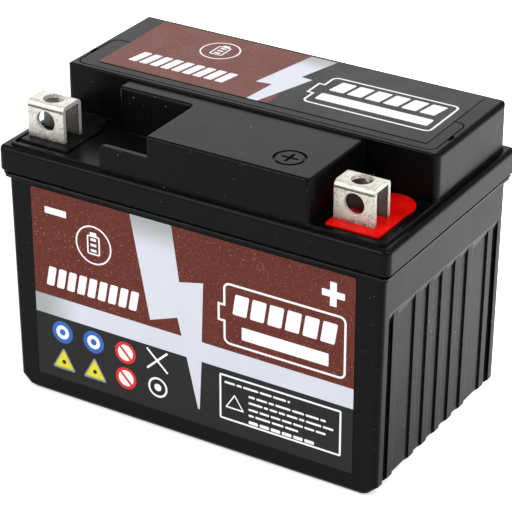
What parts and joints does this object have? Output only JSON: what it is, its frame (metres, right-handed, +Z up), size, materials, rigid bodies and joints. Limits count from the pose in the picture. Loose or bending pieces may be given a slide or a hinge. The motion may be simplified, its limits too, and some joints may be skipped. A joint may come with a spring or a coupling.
{
  "type": "motorcycle battery",
  "caption": "Sealed rectangular 12 V battery with a ribbed case, a raised stepped cover with two corner pockets, folded plate terminals and a lift-off vent strip.",
  "frame": {"origin": "centre of the bottom face", "axes": "+X along the length from the negative to the positive terminal, -Y out of the label side, +Z up"},
  "size_m": [0.1148, 0.069, 0.085],
  "materials": {
    "black_plastic": "satin-gloss moulded black plastic",
    "printed_label": "printed film, semi-gloss",
    "plated_metal": "tin-plated, scuffed",
    "lead": "cast lead, dull",
    "rubber": "moulded rubber",
    "red_resin": "cast red epoxy, glossy",
    "black_resin": "cast black epoxy, glossy",
    "porous_disc": "sintered plastic",
    "positive_plate": "lead dioxide paste on a lead grid",
    "negative_plate": "sponge lead paste on a lead grid",
    "glass_mat": "absorbent glass-fibre mat"
  },
  "bodies": {
    "battery": {"container": "black_plastic", "cover": "black_plastic", "front_label": "printed_label", "top_label_rear": "printed_label", "positive_terminal": "plated_metal", "negative_terminal": "plated_metal", "positive_post": "lead", "negative_post": "lead", "positive_post_oring": "rubber", "negative_post_oring": "rubber", "positive_post_seal": "red_resin", "negative_post_seal": "black_resin", "intercell_joints": "lead", "positive_plates_1": "positive_plate", "negative_plates_1": "negative_plate", "separators_1": "glass_mat", "positive_strap_1": "lead", "negative_strap_1": "lead", "positive_plates_2": "positive_plate", "negative_plates_2": "negative_plate", "separators_2": "glass_mat", "positive_strap_2": "lead", "negative_strap_2": "lead", "positive_plates_3": "positive_plate", "negative_plates_3": "negative_plate", "separators_3": "glass_mat", "positive_strap_3": "lead", "negative_strap_3": "lead", "positive_plates_4": "positive_plate", "negative_plates_4": "negative_plate", "separators_4": "glass_mat", "positive_strap_4": "lead", "negative_strap_4": "lead", "positive_plates_5": "positive_plate", "negative_plates_5": "negative_plate", "separators_5": "glass_mat", "positive_strap_5": "lead", "negative_strap_5": "lead", "positive_plates_6": "positive_plate", "negative_plates_6": "negative_plate", "separators_6": "glass_mat", "positive_strap_6": "lead", "negative_strap_6": "lead"},
    "strip": {"cap_strip": "black_plastic", "vent_filters": "porous_disc", "top_label_strip": "printed_label"},
    "valve_1": {"valve_cap_1": "rubber"},
    "valve_2": {"valve_cap_2": "rubber"},
    "valve_3": {"valve_cap_3": "rubber"},
    "valve_4": {"valve_cap_4": "rubber"},
    "valve_5": {"valve_cap_5": "rubber"},
    "valve_6": {"valve_cap_6": "rubber"}
  },
  "joints": [
    {"name": "cap_strip_lift", "type": "slide", "parent": "battery", "child": "strip", "axis": [0, 0, 1], "range_m": [0, 0.025]},
    {"name": "valve_lift_1", "type": "slide", "parent": "battery", "child": "valve_1", "axis": [0, 0, 1], "range_m": [0, 0.0006], "stiffness_N_per_m": 100, "springref_m": -0.0005},
    {"name": "valve_lift_2", "type": "slide", "parent": "battery", "child": "valve_2", "axis": [0, 0, 1], "range_m": [0, 0.0006], "stiffness_N_per_m": 100, "springref_m": -0.0005},
    {"name": "valve_lift_3", "type": "slide", "parent": "battery", "child": "valve_3", "axis": [0, 0, 1], "range_m": [0, 0.0006], "stiffness_N_per_m": 100, "springref_m": -0.0005},
    {"name": "valve_lift_4", "type": "slide", "parent": "battery", "child": "valve_4", "axis": [0, 0, 1], "range_m": [0, 0.0006], "stiffness_N_per_m": 100, "springref_m": -0.0005},
    {"name": "valve_lift_5", "type": "slide", "parent": "battery", "child": "valve_5", "axis": [0, 0, 1], "range_m": [0, 0.0006], "stiffness_N_per_m": 100, "springref_m": -0.0005},
    {"name": "valve_lift_6", "type": "slide", "parent": "battery", "child": "valve_6", "axis": [0, 0, 1], "range_m": [0, 0.0006], "stiffness_N_per_m": 100, "springref_m": -0.0005}
  ]
}
